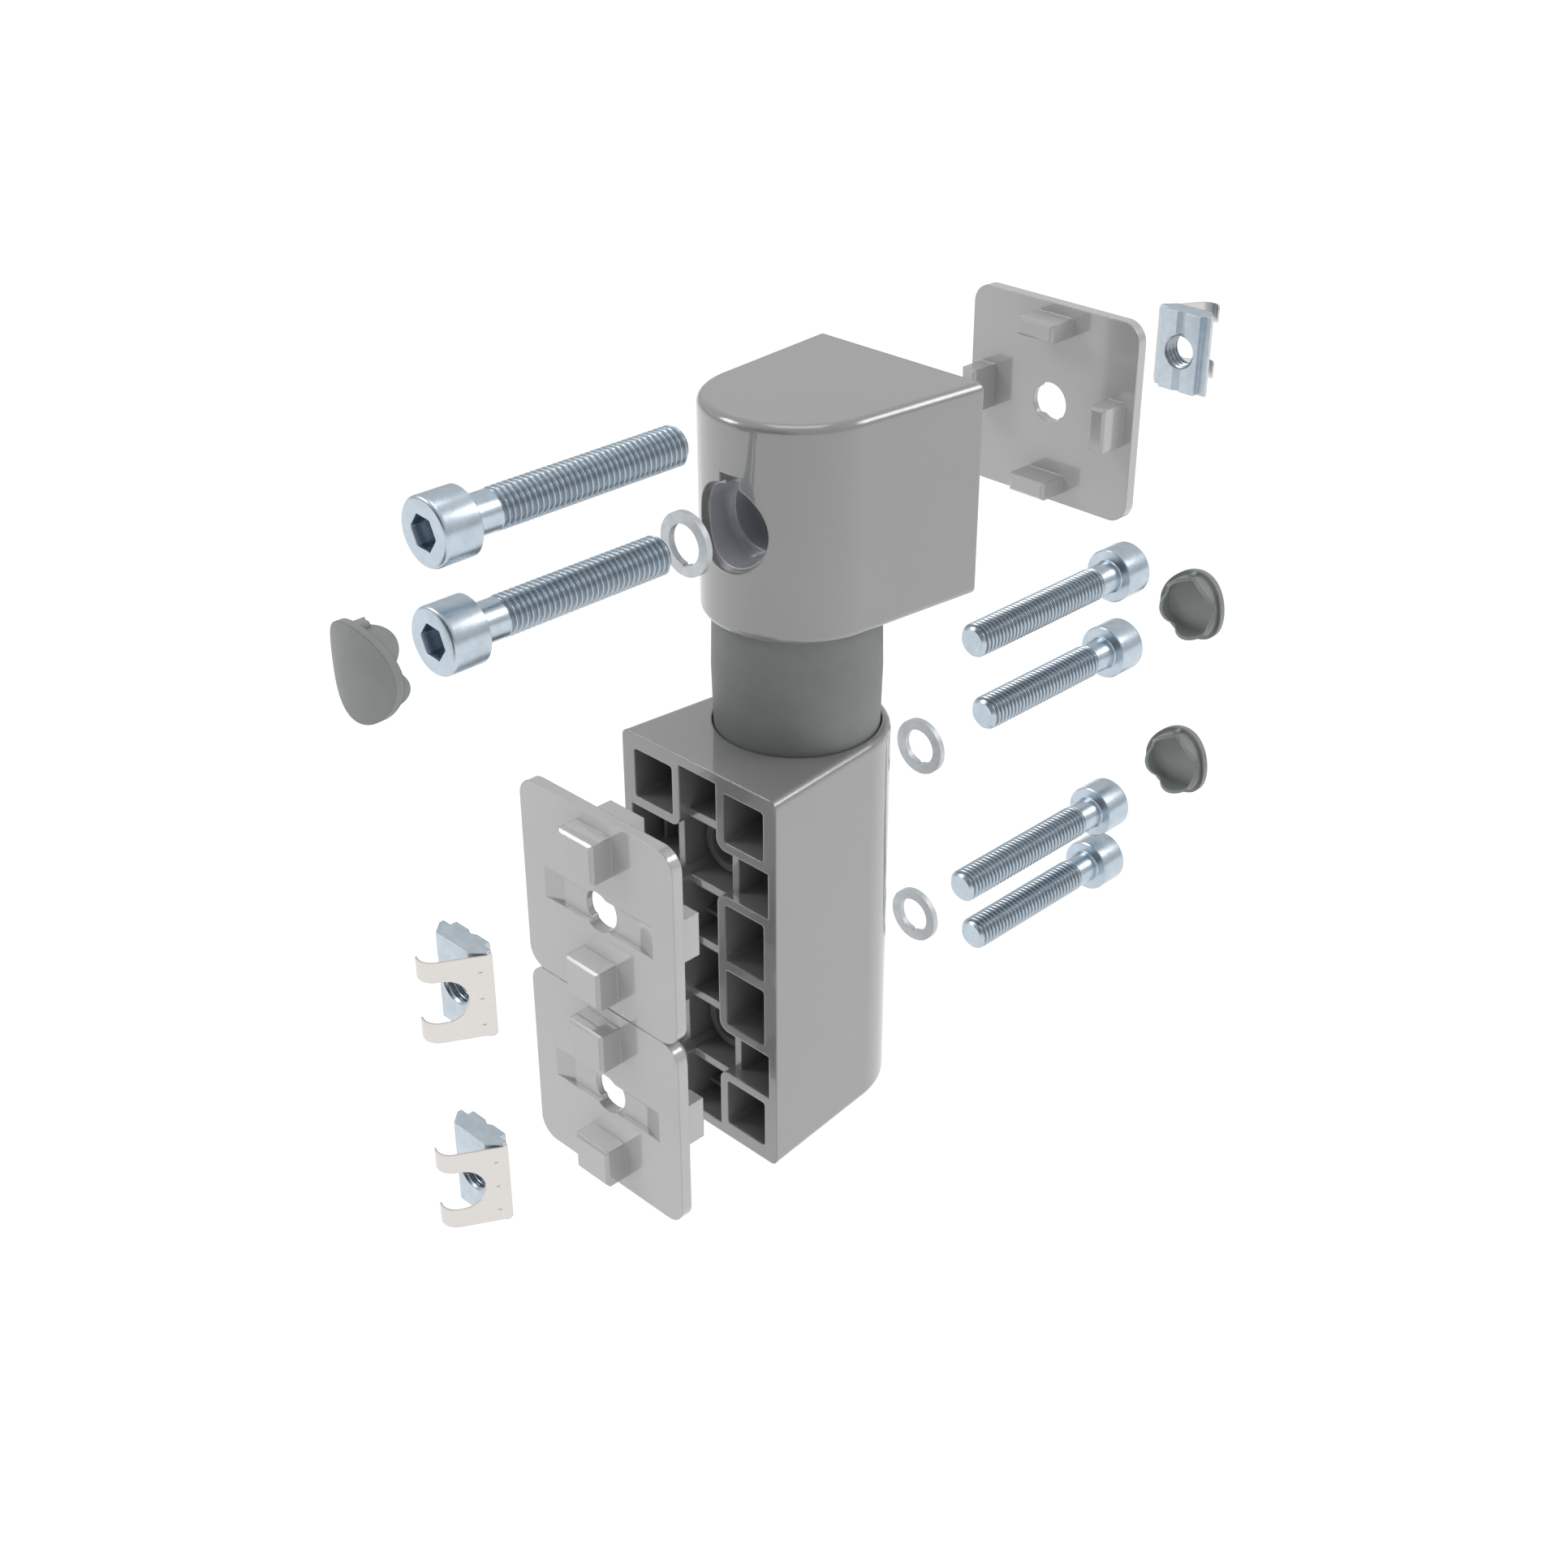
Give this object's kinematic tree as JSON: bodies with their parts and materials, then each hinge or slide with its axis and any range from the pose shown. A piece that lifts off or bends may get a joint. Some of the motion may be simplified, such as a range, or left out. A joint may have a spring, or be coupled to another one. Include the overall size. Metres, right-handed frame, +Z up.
{
  "type": "friction joint",
  "caption": "Swivelling friction joint for slotted profiles: two die-cast housings on a sleeve, with the plates, slot nuts, screws, washers and caps drawn apart.",
  "frame": {"origin": "on the swivel axis, in the flat underside of the lower housing", "axes": "+Z up the swivel axis; +Y along the screws, towards the nose of the lower housing; +X across the module"},
  "size_m": [0.045, 0.2522, 0.165],
  "materials": {
    "housing_zinc": "smooth grey powder coat, satin to glossy",
    "plate_zinc": "satin grey die-cast",
    "sleeve_plastic": "fine matt grey",
    "cap_plastic": "fine matt grey",
    "zinc_steel": "zinc plated, bluish",
    "spring_steel": "plain stainless spring leaf",
    "machined_steel": "turned",
    "bronze": "sintered",
    "lining": "friction lining"
  },
  "bodies": {
    "base": {"lower_housing": "housing_zinc", "spindle": "machined_steel", "flange_screws": "zinc_steel", "lower_pressure_washer": "machined_steel", "upper_pressure_washer": "machined_steel", "disc_springs": "spring_steel", "adjusting_nut": "zinc_steel", "lock_nut": "zinc_steel", "lower_top_spare_screw": "zinc_steel", "lower_bottom_spare_screw": "zinc_steel"},
    "rotor": {"upper_housing": "housing_zinc", "friction_sleeve": "sleeve_plastic", "spindle_bush": "bronze", "lower_friction_disc": "lining", "upper_friction_disc": "lining", "upper_spare_screw": "zinc_steel"},
    "lower_top_plate_body": {"lower_top_plate": "plate_zinc"},
    "lower_top_nut_body": {"lower_top_slot_nut": "zinc_steel", "lower_top_nut_spring": "spring_steel"},
    "lower_top_washer_body": {"lower_top_washer": "zinc_steel"},
    "lower_top_screw_body": {"lower_top_screw": "zinc_steel"},
    "lower_top_cap_body": {"lower_top_cap": "cap_plastic"},
    "lower_bottom_plate_body": {"lower_bottom_plate": "plate_zinc"},
    "lower_bottom_nut_body": {"lower_bottom_slot_nut": "zinc_steel", "lower_bottom_nut_spring": "spring_steel"},
    "lower_bottom_washer_body": {"lower_bottom_washer": "zinc_steel"},
    "lower_bottom_screw_body": {"lower_bottom_screw": "zinc_steel"},
    "lower_bottom_cap_body": {"lower_bottom_cap": "cap_plastic"},
    "upper_plate_body": {"upper_plate": "plate_zinc"},
    "upper_nut_body": {"upper_slot_nut": "zinc_steel", "upper_nut_spring": "spring_steel"},
    "upper_washer_body": {"upper_washer": "zinc_steel"},
    "upper_screw_body": {"upper_screw": "zinc_steel"},
    "upper_cap_body": {"upper_cap": "cap_plastic"}
  },
  "joints": [
    {"name": "swivel", "type": "hinge", "parent": "base", "child": "rotor", "pos_m": [0, 0, 0.10287], "axis": [0, 0, 1], "continuous": true},
    {"name": "lower_top_plate_seats", "type": "slide", "parent": "base", "child": "lower_top_plate_body", "axis": [0, 1, 0], "range_m": [0, 0.02485]},
    {"name": "lower_top_nut_slides", "type": "slide", "parent": "lower_top_plate_body", "child": "lower_top_nut_body", "axis": [0, 1, 0], "range_m": [0, 0.02705]},
    {"name": "lower_top_washer_seats", "type": "slide", "parent": "base", "child": "lower_top_washer_body", "axis": [0, -1, 0], "range_m": [0, 0.03595]},
    {"name": "lower_top_screw_seats", "type": "slide", "parent": "lower_top_washer_body", "child": "lower_top_screw_body", "axis": [0, -1, 0], "range_m": [0, 0.06545]},
    {"name": "lower_top_cap_snaps", "type": "slide", "parent": "lower_top_screw_body", "child": "lower_top_cap_body", "axis": [0, -1, 0], "range_m": [0, 0.02485]},
    {"name": "lower_bottom_plate_seats", "type": "slide", "parent": "base", "child": "lower_bottom_plate_body", "axis": [0, 1, 0], "range_m": [0, 0.02485]},
    {"name": "lower_bottom_nut_slides", "type": "slide", "parent": "lower_bottom_plate_body", "child": "lower_bottom_nut_body", "axis": [0, 1, 0], "range_m": [0, 0.02705]},
    {"name": "lower_bottom_washer_seats", "type": "slide", "parent": "base", "child": "lower_bottom_washer_body", "axis": [0, -1, 0], "range_m": [0, 0.03595]},
    {"name": "lower_bottom_screw_seats", "type": "slide", "parent": "lower_bottom_washer_body", "child": "lower_bottom_screw_body", "axis": [0, -1, 0], "range_m": [0, 0.06545]},
    {"name": "lower_bottom_cap_snaps", "type": "slide", "parent": "lower_bottom_screw_body", "child": "lower_bottom_cap_body", "axis": [0, -1, 0], "range_m": [0, 0.02485]},
    {"name": "upper_plate_seats", "type": "slide", "parent": "rotor", "child": "upper_plate_body", "axis": [0, -1, 0], "range_m": [0, 0.05015]},
    {"name": "upper_nut_slides", "type": "slide", "parent": "upper_plate_body", "child": "upper_nut_body", "axis": [0, -1, 0], "range_m": [0, 0.04205]},
    {"name": "upper_washer_seats", "type": "slide", "parent": "rotor", "child": "upper_washer_body", "axis": [0, 1, 0], "range_m": [0, 0.02615]},
    {"name": "upper_screw_seats", "type": "slide", "parent": "upper_washer_body", "child": "upper_screw_body", "axis": [0, 1, 0], "range_m": [0, 0.05075]},
    {"name": "upper_cap_snaps", "type": "slide", "parent": "upper_screw_body", "child": "upper_cap_body", "axis": [0, 1, 0], "range_m": [0, 0.00955]}
  ]
}
